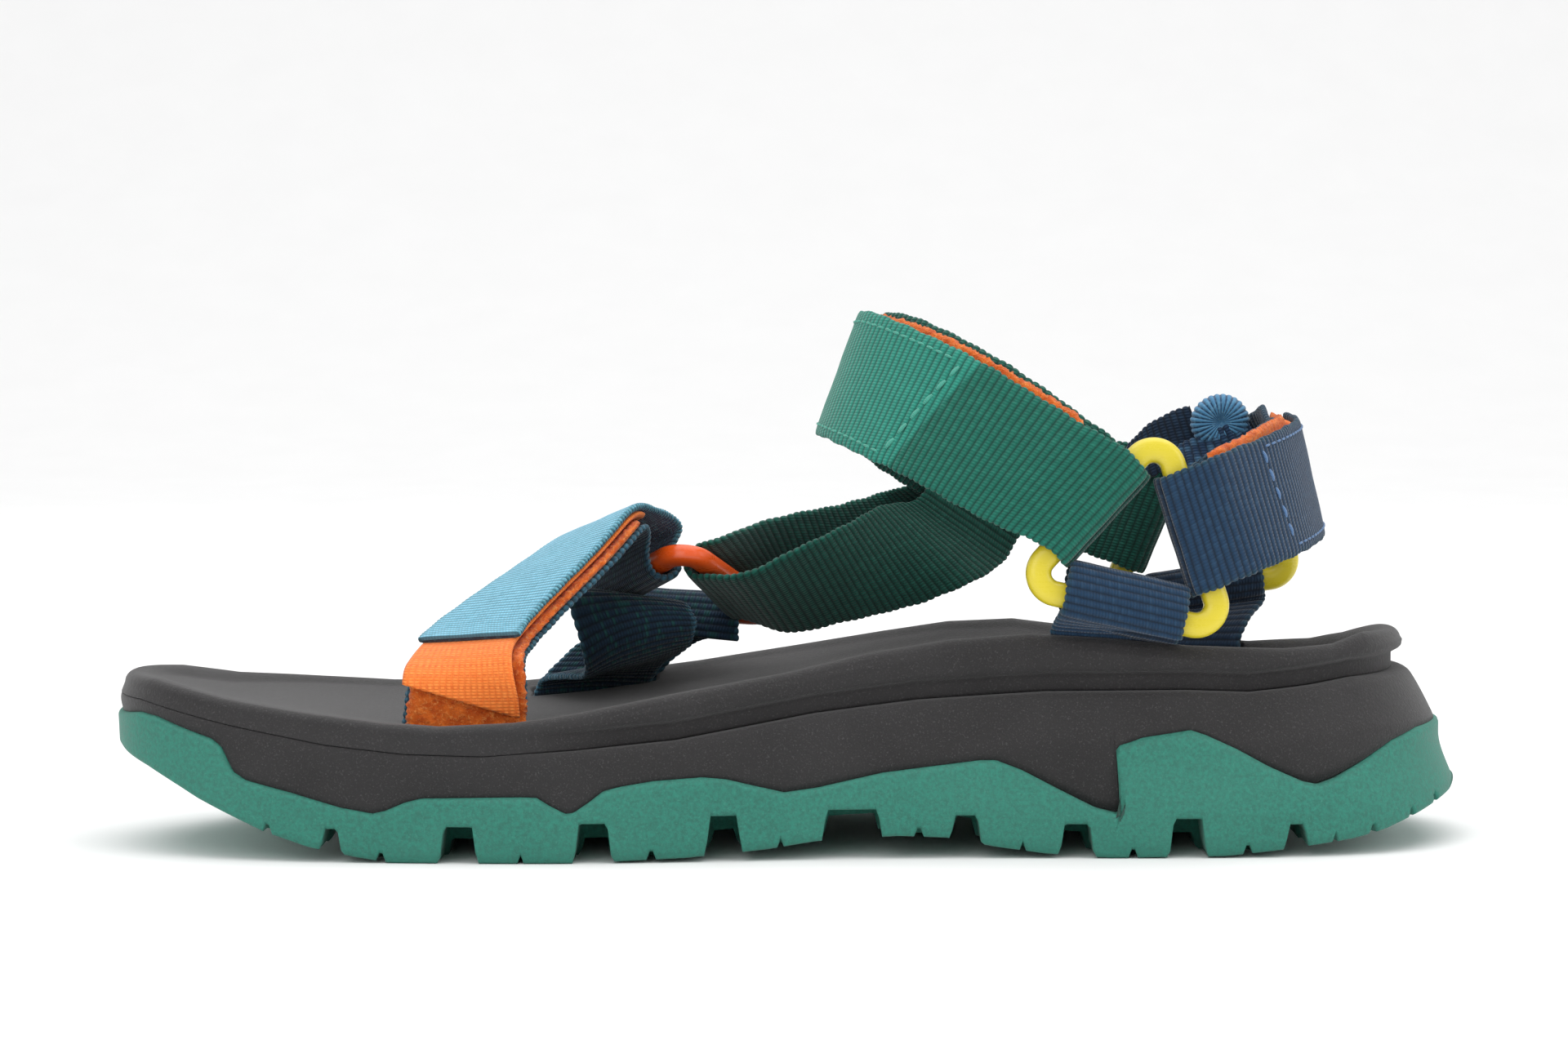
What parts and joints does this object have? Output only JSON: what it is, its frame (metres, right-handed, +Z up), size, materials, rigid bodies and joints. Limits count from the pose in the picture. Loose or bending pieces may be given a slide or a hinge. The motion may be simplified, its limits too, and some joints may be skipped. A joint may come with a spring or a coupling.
{
  "type": "strappy sport sandal",
  "caption": "Right-foot sport sandal: lugged rubber outsole, foam midsole and footbed, webbing straps joined by triangular rings, peel-open hook-and-loop flaps.",
  "frame": {"origin": "middle of the bounding box on the ground, z = 0 under the lowest tread blocks", "axes": "toe at -X, heel at +X, medial side at -Y, lateral side at +Y, +Z up"},
  "size_m": [0.2684, 0.1014, 0.1037],
  "materials": {
    "rubber_teal": "matte moulded rubber",
    "foam_charcoal": "fine-grained closed-cell foam",
    "shank_nylon": "moulded nylon plate",
    "webbing_green": "ribbed polyester webbing",
    "webbing_navy": "ribbed polyester webbing with a speckled selvedge",
    "webbing_sky": "light ribbed polyester webbing",
    "loop_orange": "fuzzy loop tape",
    "hook_orange": "woven hook tape",
    "ring_orange": "moulded acetal",
    "ring_yellow": "moulded acetal"
  },
  "bodies": {
    "sandal": {"outsole": "rubber_teal", "midsole": "foam_charcoal", "footbed": "foam_charcoal", "shank": "shank_nylon", "toe_ring": "ring_orange", "ankle_ring_medial": "ring_yellow", "ankle_ring_lateral": "ring_yellow", "toe_strap_base": "webbing_navy", "toe_loop_patch": "loop_orange", "forefoot_anchor_loop": "webbing_navy", "forefoot_anchor_fold": "webbing_navy", "instep_strap": "webbing_green", "ankle_strap_base": "webbing_green", "ankle_loop_patch": "loop_orange", "heel_strap_base": "webbing_navy", "heel_loop_patch": "loop_orange", "heel_strap_gather": "webbing_navy", "ankle_anchor_medial": "webbing_navy", "ankle_anchor_lateral": "webbing_navy"},
    "toe_flap": {"toe_strap_flap": "webbing_sky", "toe_hook_patch": "hook_orange"},
    "ankle_flap": {"ankle_strap_flap": "webbing_green", "ankle_hook_patch": "hook_orange"},
    "heel_flap": {"heel_strap_flap": "webbing_navy", "heel_hook_patch": "hook_orange"}
  },
  "joints": [
    {"name": "toe_flap_peel", "type": "hinge", "parent": "sandal", "child": "toe_flap", "pos_m": [-0.03289, 0.01749, 0.05465], "axis": [-0.5249, 0.7842, -0.3309], "range_deg": [0, 75]},
    {"name": "ankle_flap_peel", "type": "hinge", "parent": "sandal", "child": "ankle_flap", "pos_m": [0.05782, -0.03775, 0.06836], "axis": [0.6768, 0.1276, 0.725], "range_deg": [0, 70]},
    {"name": "heel_flap_peel", "type": "hinge", "parent": "sandal", "child": "heel_flap", "pos_m": [0.07858, -0.03708, 0.06356], "axis": [0.2971, -0.0962, -0.95], "range_deg": [0, 75]}
  ]
}
